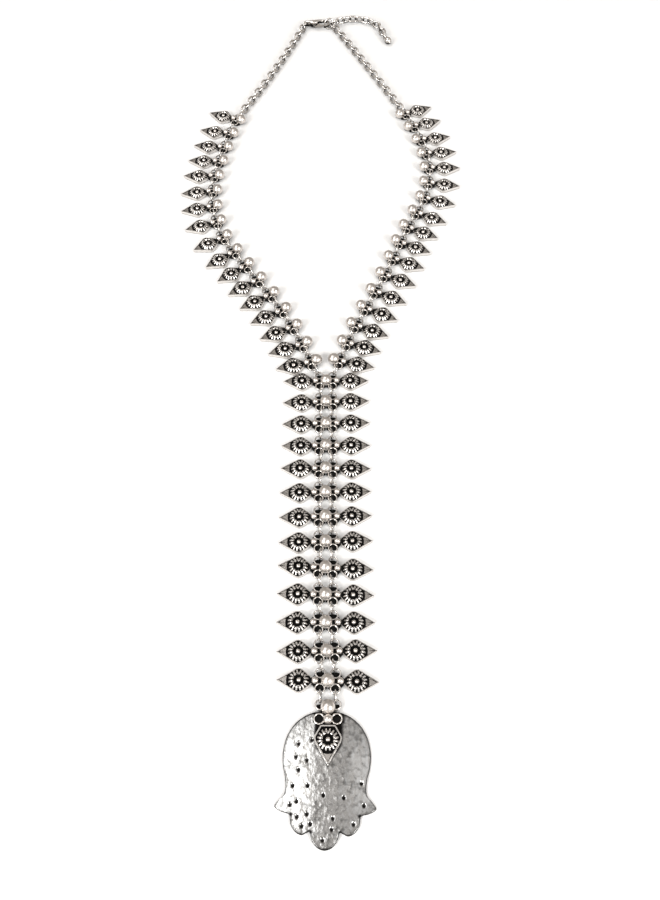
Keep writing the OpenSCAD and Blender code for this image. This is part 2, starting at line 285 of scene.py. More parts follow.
def rosetteShape(look):
    # a ring of radial petals, cut by grooves at the outside and by notches at the inside
    around = look["petals"] * look["stepsAround"]
    inner, outer, base = look["inner"], look["outer"], look["floor"]
    radii = [look["middle"], inner - look["innerWall"], inner, *look["steps"], outer]
    radii.append(outer + look["outerWall"])
    near = 0.01
    points, blackened = [], []
    for r in radii:
        for i in range(around):
            a = 2 * pi * i / around
            petal = abs((i / look["stepsAround"]) % 1 - 0.5) * 2  # 1 in the groove, 0 along the ridge
            notch = abs((a / (2 * pi) * look["notches"]) % 1 - 0.5) * 2
            width = look["groove"] * smooth(*look["grooveBand"], r)
            low, high = look["grooveWalls"]
            grooveHere = smooth(low - width, high - width, petal) if width > look["grooveLeast"] else 0
            notchHere = smooth(*look["notchWalls"], notch) * (1 - smooth(*look["notchBand"], r))
            z = look["top"] - (look["top"] - look["edgeTop"]) * smooth(look["slope"], outer, r)
            z -= look["crown"] * petal * petal * smooth(*look["crownBand"], r)
            if r < inner - near:
                z = base
            elif r <= inner + near:
                z = base + look["lipHeight"]
            elif r < look["crownBand"][0]:
                z = z - look["lipDrop"] * (1 - smooth(inner, look["lipBand"], r))
            if r > outer - near:
                z = base + (look["outerStep"] if r < outer + near else look["foot"])
            cut = max(grooveHere, notchHere)
            z = z + (base + look["cutFloor"] - z) * cut
            shrink = 1 - look["scallop"] * grooveHere * smooth(*look["scallopBand"], r)
            points.append((r * cos(a) * shrink, r * sin(a) * shrink, z))
            blackened.append(cut > look["blackFrom"] or r < inner - near or r > outer - near)
    faces, finish = [], []
    for k in range(len(radii) - 1):
        for i in range(around):
            j = (i + 1) % around
            f = [k * around + i, k * around + j, (k + 1) * around + j, (k + 1) * around + i]
            faces.append(f)
            finish.append(oxideAndShadow if sum(blackened[v] for v in f) >= 2 else polished)
    points.append((0, 0, base))
    for i in range(around):
        faces.append([len(points) - 1, i, (i + 1) % around])
        finish.append(oxideAndShadow)
    return points, faces, finish


def kiteShape(corners, look, rosette, toTip):
    spacing, under = 0.9, 0.05  # between points on the long sides, and of the field below the bed
    outline = dense(rounded(corners, look["cornerRadii"]), spacing)
    rim, wall, bed = look["rimWidth"], look["rimTop"], look["bed"]
    # over the rim, from its foot outside to the bed inside: how far in, how high
    section = [(0.12, 0.1), (0, 0.35), (0, wall - 0.3), (0.12, wall), (rim - 0.1, wall), (rim, wall - 0.12),
               (rim + 0.06, bed)]
    bands = [polished, polished, polished, polished, oxideAndShadow, oxideAndShadow]
    points, faces, finish = skin([level(inset(outline, d), z) for d, z in section], bands, closeStart=True)
    finish[-1] = oxideAndShadow
    inner = inset(outline, section[-1][0])
    first = len(points)
    points += level(inner, bed)
    faces.append([first + i for i in range(len(inner))])
    finish.append(oxideAndShadow)

    # the flat field towards the tip, hollowed round the rosette
    x0, y0 = rosette
    reach, gap, steps = look["recess"], 2.5, 10
    field = [p for p in inner if hypot(p[0] - x0, p[1] - y0) > reach
             and (p[0] - x0) * toTip[0] + (p[1] - y0) * toTip[1] > 0]
    # it starts at the first point behind the hollow
    jumps = [hypot(p[0] - field[i - 1][0], p[1] - field[i - 1][1]) for i, p in enumerate(field)]
    start = next(i for i, jump in enumerate(jumps) if jump > gap)
    field = field[start:] + field[:start]
    a = atan2(field[-1][1] - y0, field[-1][0] - x0)
    sweep = (atan2(field[0][1] - y0, field[0][0] - x0) - a + pi) % (2 * pi) - pi
    turns = [a + sweep * k / steps for k in range(steps + 1)]
    edge = field + [(x0 + reach * cos(t), y0 + reach * sin(t)) for t in turns]
    first, m = len(points), len(edge)
    points += level(edge, look["fieldTop"]) + level(edge, bed - under)
    faces.append([first + i for i in range(m)])
    finish.append(satin)
    for i in range(first + len(field) - 1, first + m):
        j = i + 1 if i + 1 < first + m else first
        faces.append([j, i, i + m, j + m])
        finish.append(oxideAndShadow)
    return points, faces, finish


def blockShape(x0, x1, half, low, high):
    # a blackened bar along x with its edges cut
    foot, brow = 0.3, 0.45
    section = [(-half, low + foot), (-half + foot, low), (half - foot, low), (half, low + foot),
               (half, high - brow), (half - brow, high), (-half + brow, high), (-half, high - brow)]
    loops = [[(x, y, z) for y, z in section] for x in (x0, (x0 + x1) / 2, x1)]
    return skin(loops, oxideAndShadow, closeStart=True, closeEnd=True)


def shadowWebShape(look):
    # a black sheet in the corners between the big ball, the bead and the loops: partly the casting's dark
    # metal there, partly a painted shadow over the loops' insides
    outline = rounded(look["shadowWeb"], look["shadowWebRadii"], steps=4)
    low, high, edge = look["shadowWebLow"], look["shadowWebTop"], 0.1
    loops = [level(inset(outline, edge), low), level(outline, low + edge), level(outline, high - edge),
             level(inset(outline, edge), high)]
    return skin(loops, oxideAndShadow, closeStart=True, closeEnd=True)


def castLoop(radius, wire, x, y, z, steps=32, sides=10):
    return moved(tubeShape(ringPath(radius, steps), wire, sideShaded, sides), x, y, z)


def spikeShapes(look):
    wide, root, half, rootHalf = look["widestAt"], look["root"], look["halfWidth"], look["rootHalf"]
    corners = [(look["length"], 0), (wide, half), (root, rootHalf), (root, -rootHalf), (wide, -half)]
    at, loopAt = look["rosetteAt"], look["loopAt"]
    shapes = [
        kiteShape(corners, look, (at, 0), (1, 0)),
        blockShape(**look["bridge"]),
        shadowWebShape(look),
        ballShape(look["bead"], (look["beadAt"], 0, look["beadHeight"]), underShaded, sides=20, rows=12),
        moved(rosetteShape(rosetteLook), at, 0, 0),
        ballShape(rosetteLook["bead"], (at, 0, rosetteLook["beadHeight"]), underShaded, sides=18, rows=12),
    ]
    for side in (-1, 1):
        shapes.append(castLoop(look["loop"], look["loopWire"], loopAt, side * loopAt, look["loopHeight"]))
    return shapes


spikeParts = spikeShapes(spikeLook)
bigBall = ballShape(spikeLook["ball"], (0, 0, spikeLook["ball"] + floorGap), underShaded, sides=36, rows=20)
print("spike shaped,", sum(len(s[1]) for s in spikeParts), "faces")

# where the castings lie
layout = {
    "columnLow": 96.9,
    "columnX": -1.9,
    "columnPitch": 12.15,
    "armPitch": 12.1,
    "armCount": 17,
    "pendant": (-0.8, -10.45),  # across, and up from the lowest bar
}
# sideways shift and tilt of each bar, from the top one down
barPlaces = [(0, 0.4), (0, 1.6), (0, 1.2), (0, 0.4), (0, -0.4), (-0.1, 1.1), (-0.1, 1.4), (0, 1.3), (0, -3),
             (0, -1.2), (0.1, -0.3), (0.6, 0.6), (1.0, -1.4)]
# by the spike's number, counted up from the column: heading, what a step has more than the pitch, lean
leftArm = {
    "start": (-6.57, 254.9),
    "side": 1,
    "headings": [(0, 113), (2, 118), (4, 125), (6, 124), (7, 121), (8, 109.5), (9, 103), (10, 94.5),
                 (12, 82), (14, 78), (15, 73)],
    "extra": [(0, 0), (3, 0.2), (6, -0.15), (8, -0.4), (11, -0.3), (15, -0.1)],
    "leans": [(0, -8.5), (1, -3.7), (2, -0.9), (4, -1.2), (5, -0.2), (6, 3.2), (7, 5), (8, 5.5),
              (9, 3), (10, 3.2), (11, 5.6), (12, 4.4), (13, 6.3), (15, 4.5), (16, -4)],
}
rightArm = {
    "start": (1.78, 255.45),
    "side": -1,
    "headings": [(0, 70), (2, 65), (4, 65), (6, 70), (8, 64), (9, 67), (10, 76.5), (12, 95), (14, 109.5),
                 (15, 112.5)],
    "extra": [(0, 0), (4, 0.35), (8, 0), (11, -0.4), (15, -0.3)],
    "leans": [(0, 6.3), (1, 2.1), (2, -0.4), (4, -2.4), (5, -2.2), (7, -4.2), (8, -2.8), (9, -2.5),
              (10, 0), (12, -0.7), (14, -7), (15, -2.8), (16, -1.5)],
}


def between(rows, k):
    for (k0, v0), (k1, v1) in zip(rows, rows[1:]):
        if k <= k1:
            return v0 + (v1 - v0) * (k - k0) / (k1 - k0)
    return rows[-1][1]


def ahead(spot, heading, reach):
    return spot[0] + reach * cos(radians(heading)), spot[1] + reach * sin(radians(heading))


def armSpots(arm):
    spot = arm["start"]
    spots = []
    for k in range(layout["armCount"]):
        heading = between(arm["headings"], k)
        before = between(arm["headings"], max(k - 1, 0))
        spots.append((*spot, (heading + before) / 2 + arm["side"] * 90 + between(arm["leans"], k)))
        spot = ahead(spot, heading, layout["armPitch"] + between(arm["extra"], k))
    return spots


def onSpike(spot, x, y):
    # a point of a laid casting, given as the casting has it
    a = radians(spot[2])
    return spot[0] + x * cos(a) - y * sin(a), spot[1] + x * sin(a) + y * cos(a)


def barSpot(k, shift, tilt):
    up = (len(barPlaces) - 1 - k) * layout["columnPitch"]
    return layout["columnX"] + shift, layout["columnLow"] + up, tilt


barSpots = [barSpot(k, *row) for k, row in enumerate(barPlaces)]
leftSpots = armSpots(leftArm)
rightSpots = armSpots(rightArm)
pendantSpot = (layout["pendant"][0], layout["columnLow"] + layout["pendant"][1])

# shade: painted shade, where the metal is darkened, by how far its surface faces up, from black to bright
metalLook = {
    "polished": {"color": (0.70, 0.675, 0.65), "dark": (0.36, 0.345, 0.33), "rough": 0.24, "size": 900,
                 "bump": 0.04, "shade": (-0.7, 0.0)},
    # black: oxide in the hollows, and a painted shadow on the sheets in and between the loops
    "oxideAndShadow": {"color": (0.009, 0.0088, 0.0085), "dark": (0.004, 0.004, 0.004), "rough": 0.5, "size": 1200,
              "bump": 0.2, "shade": (-1.6, -1.2), "metallic": 0.0, "gloss": 0.03},
    "satin": {"color": (0.54, 0.515, 0.49), "dark": (0.32, 0.305, 0.29), "rough": 0.24, "size": 1500,
              "bump": 0.15, "shade": (-0.6, -0.2)},
    # balls and beads: painted shade darkens their undersides
    "underShaded": {"color": (0.66, 0.62, 0.585), "dark": (0.38, 0.355, 0.33), "rough": 0.3, "size": 900,
                 "bump": 0.02, "shade": (-0.55, -0.3)},
    # loops and the clasp body: painted shade blackens their sides, only the upward faces stay bright
    "sideShaded": {"color": (0.66, 0.63, 0.60), "dark": (0.3, 0.285, 0.27), "rough": 0.25, "size": 900,
                   "bump": 0.03, "shade": (0.05, 0.85)},
    "wire": {"color": (0.66, 0.63, 0.60), "dark": (0.36, 0.34, 0.32), "rough": 0.2, "size": 700,
             "bump": 0.03, "shade": (-0.3, 0.5)},
    "chain": {"color": (0.76, 0.725, 0.69), "dark": (0.5, 0.47, 0.44), "rough": 0.2, "size": 700,
              "bump": 0.03, "shade": (-0.35, 0.55)},
    "hand": {"color": (0.84, 0.84, 0.835), "dark": (0.34, 0.34, 0.335), "rough": 0.17, "size": 620,
             "bump": 0.35, "shade": (-0.25, 0.3), "stain": (0.47, 0.72)},
}
metalBasics = {"metallic": 1.0, "gloss": 0.5, "stain": (0.62, 0.8), "detail": 5, "bumpDepth": 0.0003,
               "roughSpread": (0.8, 1.35)}
stainLook = {"size": 130, "detail": 2, "share": 0.55, "shift": 0.27}  # broad stains of the hand
# the black that painted shade, and the hand's patina, darken the metal to
shadeAndPatinaBlack = (0.012, 0.0115, 0.011)


def noiseNode(nodes, links, coords, size, detail):
    grain = nodes.new("ShaderNodeTexNoise")
    grain.inputs["Scale"].default_value = size
    grain.inputs["Detail"].default_value = detail
    links.new(coords.outputs["Object"], grain.inputs["Vector"])
    return grain


def mapNode(nodes, links, source, low, high, ends=("From Min", "From Max")):
    ranged = nodes.new("ShaderNodeMapRange")
    ranged.inputs[ends[0]].default_value = low
    ranged.inputs[ends[1]].default_value = high
    links.new(source, ranged.inputs["Value"])
    return ranged


def mathNode(nodes, operation, **values):
    node = nodes.new("ShaderNodeMath")
    node.operation = operation
    for place, value in values.items():
        node.inputs["abc".index(place)].default_value = value
    return node


def mixNode(nodes):
    mix = nodes.new("ShaderNodeMix")
    mix.data_type = "RGBA"
    return mix


def metal(name, look):
    look = dict(metalBasics, **look)
    m = bpy.data.materials.new(name)
    m.use_nodes = True
    nodes, links = m.node_tree.nodes, m.node_tree.links
    shader = nodes["Principled BSDF"]
    shader.inputs["Metallic"].default_value = look["metallic"]
    shader.inputs["Specular IOR Level"].default_value = look["gloss"]
    coords = nodes.new("ShaderNodeTexCoord")
    grain = noiseNode(nodes, links, coords, look["size"], look["detail"])
    ramp = nodes.new("ShaderNodeValToRGB")
    for stop, at, color in zip(ramp.color_ramp.elements, look["stain"], (look["color"], look["dark"])):
        stop.position = at
        stop.color = (*color, 1)
    links.new(grain.outputs["Fac"], ramp.inputs["Fac"])

    # painted shade: the colour fades to black where the surface faces down or sideways
    facing = nodes.new("ShaderNodeNewGeometry")
    upward = nodes.new("ShaderNodeSeparateXYZ")
    links.new(facing.outputs["Normal"], upward.inputs["Vector"])
    shade = mapNode(nodes, links, upward.outputs["Z"], *look["shade"])
    shade.interpolation_type = "SMOOTHSTEP"
    tone = mixNode(nodes)
    tone.inputs["A"].default_value = (*shadeAndPatinaBlack, 1)
    links.new(shade.outputs["Result"], tone.inputs["Factor"])
    links.new(ramp.outputs["Color"], tone.inputs["B"])
    links.new(tone.outputs["Result"], shader.inputs["Base Color"])
    if name == "hand":
        paintHand(nodes, links, coords, grain, ramp, shade, tone)

    spread = [look["rough"] * share for share in look["roughSpread"]]
    rough = mapNode(nodes, links, grain.outputs["Fac"], *spread, ends=("To Min", "To Max"))
    links.new(rough.outputs["Result"], shader.inputs["Roughness"])
    bump = nodes.new("ShaderNodeBump")
    bump.inputs["Strength"].default_value = look["bump"]
    bump.inputs["Distance"].default_value = look["bumpDepth"]
    links.new(grain.outputs["Fac"], bump.inputs["Height"])
    links.new(bump.outputs["Normal"], shader.inputs["Normal"])
    return m


def paintHand(nodes, links, coords, grain, ramp, shade, tone):
    # black where the attribute says so: patina, and a painted reflection dimming parts of the hand; and
    # broad stains under the grain
    painted = nodes.new("ShaderNodeAttribute")
    painted.attribute_name = "patinaAndReflection"
    bare = mathNode(nodes, "SUBTRACT", a=1.0)
    clean = mathNode(nodes, "MULTIPLY")
    links.new(painted.outputs["Fac"], bare.inputs[1])
    links.new(bare.outputs["Value"], clean.inputs[0])
    links.new(shade.outputs["Result"], clean.inputs[1])
    links.new(clean.outputs["Value"], tone.inputs["Factor"])
    broad = noiseNode(nodes, links, coords, stainLook["size"], stainLook["detail"])
    fine = mathNode(nodes, "SUBTRACT", b=stainLook["shift"])
    both = mathNode(nodes, "MULTIPLY_ADD", b=stainLook["share"])
    links.new(grain.outputs["Fac"], fine.inputs[0])
    links.new(broad.outputs["Fac"], both.inputs[0])
    links.new(fine.outputs["Value"], both.inputs[2])
    links.new(both.outputs["Value"], ramp.inputs["Fac"])


finishes = {name: metal(name, look) for name, look in metalLook.items()}
castFinishes = [finishes[name] for name in ("polished", "oxideAndShadow", "satin", "underShaded", "sideShaded")]

for k, spot in enumerate(barSpots):
    piece = Piece(f"bar{k + 1:02d}")
    for half in (0, 180):
        place = placeAt(spot[0], spot[1], spot[2] + half)
        for s in spikeParts:
            piece.add(s, place)
    piece.add(bigBall, placeAt(*spot))
    piece.build(castFinishes, "necklace", [f"bar_{k + 1:02d}"])
for name, node, spots in (("leftArmSpikes", "left_arm_spikes", leftSpots),
                          ("rightArmSpikes", "right_arm_spikes", rightSpots)):
    piece = Piece(name)
    for spot in spots:
        for s in spikeParts + [bigBall]:
            piece.add(s, placeAt(*spot))
    piece.build(castFinishes, "necklace", [node])
print("castings placed")

# rings that stand on the table, leaning to one side
ringLook = {"radius": 2.45, "wire": 0.3, "lean": 8, "columnAt": 2.5, "pendantUp": 1}


def hungRing(place, heading, lean, radius, wire, sides=12, steps=36):
    stand = Matrix.Translation((0, 0, place[2])) @ Matrix.Rotation(radians(90 - lean), 4, "X")
    return tubeShape(ringPath(radius, steps), wire, plain, sides), placeAt(*place[:2], heading) @ stand


def jumpRing(a, b, lean):
    radius, wire = ringLook["radius"], ringLook["wire"]
    height = radius * cos(radians(lean)) + wire + floorGap
    heading = degrees(atan2(b[1] - a[1], b[0] - a[0]))
    return hungRing(((a[0] + b[0]) / 2, (a[1] + b[1]) / 2, height), heading, lean, radius, wire)


loopAt = spikeLook["loopAt"]
piece = Piece("columnRings")
for lower, upper in zip(barSpots[1:], barSpots):
    for side in (-1, 1):
        across, lean = side * ringLook["columnAt"], side * ringLook["lean"]
        piece.add(*jumpRing(onSpike(lower, across, loopAt), onSpike(upper, across, -loopAt), lean))
for side in (-1, 1):
    across = side * loopAt
    foot = pendantSpot[0] + across, pendantSpot[1] + ringLook["pendantUp"]
    piece.add(*jumpRing(foot, onSpike(barSpots[-1], across, -loopAt), 0))
piece.build([finishes["wire"]], "necklace", ["column_rings"])
for name, node, spots, side in (("leftArmRings", "left_arm_rings", leftSpots, 1),
                                ("rightArmRings", "right_arm_rings", rightSpots, -1)):
    piece = Piece(name)
    across = side * loopAt
    piece.add(*jumpRing(onSpike(barSpots[0], -across, loopAt), onSpike(spots[0], loopAt, across), 0))
    for lower, upper in zip(spots, spots[1:]):
        piece.add(*jumpRing(onSpike(lower, loopAt, -across), onSpike(upper, loopAt, across), 0))
    piece.build([finishes["wire"]], "necklace", [node])
print("jump rings placed")

# the hammered hand; its own x and y count from the lowest finger tip
handLook = {
    "x": -1.2,
    "top": 85.1,
    "turn": -1.6,
    "turnAbout": 34.0,
    "length": 50,
    "thick": 1.5,
    "middle": (0.0, 24.0),
    "outlineSteps": 7,  # from one row of the outline to the next
    "edgeRings": 4,
    "edgeStep": 0.012,
    "innerRing": 0.95,
    "rings": 84,
    "backInset": 0.15,
    "backHeight": 0.18,
    "crown": 0.1,
    "dome": 0.75,
    "domeHalf": 17,
    "hammer": 0.06,
    "hammerShift": 0.9,
    "hammerBand": (0.93, 0.99),
    "coarseDents": 0.32,
    "fineDents": 0.8,
    "fineShare": 0.5,
    "rolledEdge": 0.25,
    "rolledBand": (0.985, 1.0),
    "pitDepth": 0.55,
    "pitRadius": 0.66,
    "pitWalls": (0.45, 1.25),  # in pit radii
    "pitTall": 0.78,
}
# half width and height of the hand, from the lowest finger tip to the top
handRows = [(0, 0), (2.7, 0.9), (4.6, 3.2), (5.6, 6), (6.9, 5.7), (8.7, 5), (11, 6.1), (12.7, 8.6),
            (13.4, 11.9), (15.9, 12.7), (18.1, 13.7), (19.0, 15.0), (17.3, 17.2), (15.7, 19), (15.2, 21.5),
            (15.6, 25), (16.6, 29.2), (16.9, 34), (15.9, 39.4), (13.6, 43.8), (10.2, 47.1), (5.6, 49.3),
            (0, 50)]
# punched pits: across and up
handPits = [(-7.6, 31.4), (-10.6, 27.8), (-6.9, 22.2), (-0.9, 18.9), (6.8, 18.2), (13.4, 23.5), (14.4, 15.7),
            (-10.9, 16.6), (-13.3, 15.4), (-6.8, 12.2), (-8.6, 8.1), (-5.4, 8.8), (2.9, 10.9), (2.5, 7.1),
            (10.6, 9.1), (-0.8, 3.4), (-6.0, 38.9), (-11.0, 37.4), (-12.6, 22.1), (-10.5, 11.2),
            (-11.8, 32.6)]
# two numbers in brackets are where a tone starts and where it is full
patinaAndReflectionLook = {
    "edgeFrom": 0.975,
    "edge": 0.7,
    "pitBand": (0.7, 1.5),  # in pit radii
    # painted reflection: how much darker the hand is where its reflection is dim, where that is, and the
    # brighter patch (light) that takes part of it back
    "dimReflection": 0.3,
    "dimReflectionSlant": 0.12,
    "tipsSlant": 0.6,
    "tipsFrom": 6,
    "dimReflectionTop": (36.0, 42.0),
    "dimReflectionSide": (-8.5, -3.5),
    "dimReflectionTips": (6.0, 9.0),
    "lightSide": (7.0, 11.0),
    "lightUp": (13, 20),
    "lightDown": (34, 39),
    "light": 0.65,
    "wander": 2.5,
    "wanderSize": 0.22,
    "notches": ((-5.6, 6.0), (5.6, 6.0), (-13.0, 11.9), (13.0, 11.9)),
    "notchBand": (0.5, 1.5),
    "notchTall": 1.3,
    "castingTip": (-23.0, -12),
    "castingHalf": (5.2, 5.8),  # beside the kite, beside the loops
    "loopsFrom": -6,
    "castingEdge": (0.1, 1.3),  # inside and outside of that half
    "castingFade": (-24, -21.5),
    "wobble": 0.5,
    "wobbleSize": 0.9,
}


def dentsAt(x, y, size, layer):
    return noise.noise(Vector((x * size, y * size, layer)))


def pitDistance(x, y, pit):
    return hypot(x - pit[0], (y - pit[1]) * handLook["pitTall"])


def handHeight(x, y, edge):
    # hammered and punched front; edge is 1 at the outline and 0 in the middle
    look = handLook
    pitFoot, pitBrow = (look["pitRadius"] * share for share in look["pitWalls"])
    z = look["thick"] + look["crown"] - look["dome"] * (x / look["domeHalf"]) ** 2
    dents = dentsAt(x, y, look["coarseDents"], layer=2.0)
    dents += look["fineShare"] * dentsAt(x, y, look["fineDents"], layer=7.0)
    z -= look["hammer"] * (look["hammerShift"] + dents) * (1 - smooth(*look["hammerBand"], edge))
    for pit in handPits:
        z -= look["pitDepth"] * (1 - smooth(pitFoot, pitBrow, pitDistance(x, y, pit)))
    return z - look["rolledEdge"] * smooth(*look["rolledBand"], edge)


def handPatinaAndReflection(hx, hy, edge):
    # how black the hand is: in the pits and notches, along the edge and round the casting, and a painted
    # reflection, dimmer to the right, at the top and at the finger tips, less so in a patch at the right
    # edge
    look = patinaAndReflectionLook
    x, y = hx + handLook["x"], hy + handLook["top"] - handLook["length"]
    dark = look["edge"] if edge > look["edgeFrom"] else 0.0
    pitBlack, pitClear = (handLook["pitRadius"] * share for share in look["pitBand"])
    for pit in handPits:
        dark = max(dark, 1 - smooth(pitBlack, pitClear, pitDistance(hx, hy, pit)))

    # painted reflection: dim zones, and the brighter patch at the right edge
    wander = look["wander"] * dentsAt(hx, hy, look["wanderSize"], layer=9.0)
    top = smooth(*look["dimReflectionTop"], hy + wander - look["dimReflectionSlant"] * hx)
    side = smooth(*look["dimReflectionSide"], hx + wander)
    rise = look["tipsSlant"] * max(0, -hx - look["tipsFrom"])
    tips = 1 - smooth(*look["dimReflectionTips"], hy + wander + rise)
    light = smooth(*look["lightSide"], hx + wander) * smooth(*look["lightUp"], hy + wander)
    light *= 1 - smooth(*look["lightDown"], hy + wander)
    dark = max(dark, look["dimReflection"] * max(top, side, tips) * (1 - look["light"] * light))

    # round the casting, narrower towards the kite's tip
    sx, sy = abs(x - pendantSpot[0]), y - pendantSpot[1]
    kiteHalf, loopsHalf = look["castingHalf"]
    half = kiteHalf * smooth(*look["castingTip"], sy) if sy < look["loopsFrom"] else loopsHalf
    inside, outside = look["castingEdge"]
    outside += look["wobble"] * dentsAt(x, y, look["wobbleSize"], layer=3.0)
    dark = max(dark, (1 - smooth(half - inside, half + outside, sx)) * smooth(*look["castingFade"], sy))
    for nx, ny in look["notches"]:
        dark = max(dark, 1 - smooth(*look["notchBand"], hypot(hx - nx, (hy - ny) * look["notchTall"])))
    return dark


def handShape():
    look = handLook
    whole = handRows + [(-x, y) for x, y in handRows[-2:0:-1]]
    outline = [(p[0], p[1]) for p in curveThrough(whole, look["outlineSteps"], closed=True)]
    n, count = len(outline), look["rings"]
    x0, y0 = look["middle"]
    steps = [1.0 - look["edgeStep"] * k for k in range(look["edgeRings"])]
    steps += [look["innerRing"] * (1 - k / count) for k in range(count)]
    loops = [level(inset(outline, look["backInset"]), 0.0), level(outline, look["backHeight"])]
    for s in steps:
        ring = [(x0 + (p[0] - x0) * s, y0 + (p[1] - y0) * s) for p in outline]
        loops.append([(x, y, handHeight(x, y, s)) for x, y in ring])
    points, faces = skin(loops, plain, closeStart=True)[:2]
    points.append((x0, y0, handHeight(x0, y0, 0)))
    last = (len(loops) - 1) * n
    faces += [[last + i, last + (i + 1) % n, len(points) - 1] for i in range(n)]
    finish = [oxideAndShadow if k < 3 * n else plain for k in range(len(faces))]  # the outer bands are black
    edges = [1.0] * (2 * n) + [s for s in steps for p in outline] + [0.0]
    return (points, faces, finish), [handPatinaAndReflection(p[0], p[1], e) for p, e in zip(points, edges)]


# the casting on the hand, its big ball at 0 and its tip on -y
pendantLook = {
    "corners": [(0, -22.2), (5.85, -12.0), (2.9, -7.0), (-2.9, -7.0), (-5.85, -12.0)],
    "cornerRadii": [0.4, 1.6, 0.5, 0.5, 1.6],
    "rimWidth": 0.7,
    "rimTop": 3.3,
    "bed": 2.4,
    "fieldTop": 3.0,
    "recess": 5.3,
    "ball": 2.95,
    "bead": 1.9,
    "beadAt": -4.8,
    "beadHeight": 3.1,
    "rosetteAt": -12.6,
    "rosetteOuter": 4.75,
    "rosetteLift": 1.3,
    "bridge": {"x0": 0, "x1": 7.2, "half": 1.5, "low": 0.8, "high": 2.8},
    "loopWire": 0.36,
    "loopHeight": 1.8,
    "upperLoop": 1.9,
    "upperLoopAt": (3.1, 1),
    "lowerLoop": 1.95,
    "lowerLoopAt": (3.5, -4.4),
    "shadowDiscHeight": 1.53,
    "sunk": 0.3,  # the kite's foot in the hand
    "shadowWeb": [(4.4, 1.2), (2.0, 1.3), (-2.0, 1.3), (-4.4, 1.2),
            (-4.7, 0.0), (-3.6, -1.3), (3.6, -1.3), (4.7, 0.0)],
    "shadowWebRadii": [0.3, 0.3, 0.3, 0.3, 0.6, 0.6, 0.6, 0.6],
    "shadowWebLow": 0.9,
    "shadowWebTop": 1.3,
}


def pendantCasting(look):
    at, lift, foot = look["rosetteAt"], look["rosetteLift"], handLook["thick"] - look["sunk"]
    points, faces, finish = kiteShape(look["corners"], look, (0, at), (0, -1))
    bridge = blockShape(**look["bridge"])
    rosetteBead = (0, at, rosetteLook["beadHeight"] + lift)
    shapes = [
        ([(p[0], p[1], max(p[2], foot)) for p in points], faces, finish),
        ballShape(look["ball"], (0, 0, look["ball"] + floorGap), underShaded, sides=36, rows=20),
        ballShape(look["bead"], (0, look["beadAt"], look["beadHeight"]), underShaded, sides=28, rows=16),
        ([(p[1], -p[0], p[2]) for p in bridge[0]], bridge[1], bridge[2]),
        moved(rosetteShape(dict(rosetteLook, outer=look["rosetteOuter"])), 0, at, lift),
        ballShape(rosetteLook["bead"], rosetteBead, underShaded, sides=18, rows=12),
    ]
    for side in (-1, 1):
        x, y = look["upperLoopAt"]
        shapes.append(castLoop(look["upperLoop"], look["loopWire"], side * x, y, look["loopHeight"]))
        x, y = look["lowerLoopAt"]
        shapes.append(castLoop(look["lowerLoop"], look["loopWire"], side * x, y, look["loopHeight"]))
        # a black disc in each lower loop, a painted shadow of the loop's inside
        shadowDisc = ringPath(look["lowerLoop"], steps=24)  # black in the loop
        shapes.append(moved((shadowDisc, [list(range(len(shadowDisc)))], [oxideAndShadow]), side * x, y, look["shadowDiscHeight"]))
    # a black sheet between the ball and the upper loops: partly dark metal, partly a painted shadow
    shadowWeb = rounded(look["shadowWeb"], look["shadowWebRadii"], steps=4)
    shadowWebLoops = [level(shadowWeb, look["shadowWebLow"]), level(shadowWeb, look["shadowWebTop"])]
    shapes.append(skin(shadowWebLoops, oxideAndShadow, closeStart=True, closeEnd=True))
    # the hand's own surface is finish 0, so the polished metal moves to the end
    return [(points, faces, [f or len(castFinishes) for f in finish]) for points, faces, finish in shapes]


piece = Piece("handPendant")
hand, black = handShape()
turnBack = Matrix.Translation((0, -handLook["turnAbout"], 0))
turnAt = handLook["top"] - handLook["length"] + handLook["turnAbout"]
piece.add(hand, placeAt(handLook["x"], turnAt, handLook["turn"]) @ turnBack)
for s in pendantCasting(pendantLook):
    piece.add(s, placeAt(*pendantSpot))
handFinishes = [finishes["hand"]] + castFinishes[1:] + [finishes["polished"]]
handObject = piece.build(handFinishes, "necklace", ["pendant"], sharp=50)
patinaAndReflection = handObject.data.attributes.new("patinaAndReflection", "FLOAT", "POINT")
patinaAndReflection.data.foreach_set("value", black + [0.0] * (len(handObject.data.vertices) - len(black)))
print("pendant shaped")

# chains; room is what two links share where they hook into each other
chainLook = {
    "halfWidth": 1.83,
    "wire": 0.525,
    "room": 1.25,
    "finest": 500,  # from link to link is a whole number of these in a millimetre
    "height": 1.85,
    "sides": 12,
    "steps": 40,
    "roll": 45,
    "leftLinks": 22,
    "leftBow": -1.5,
    "rightLinks": 21,
    "rightBow": 0.5,
    "firstReach": 0.5,
    "firstTurn": 4,
}


def linkShape(halfLength):
    b = chainLook["halfWidth"]
    half = chainLook["steps"] // 2
    path = []
    for end in (1, -1):
        for k in range(half + 1):
            a = -pi / 2 + pi * k / half
            path.append((end * (halfLength - b + b * cos(a)), end * b * sin(a), 0))
    return tubeShape(path, chainLook["wire"], plain, chainLook["sides"])


def linkPlace(x, y, z, heading, roll):
    return placeAt(x, y, heading) @ Matrix.Translation((0, 0, z)) @ Matrix.Rotation(radians(roll), 4, "X")


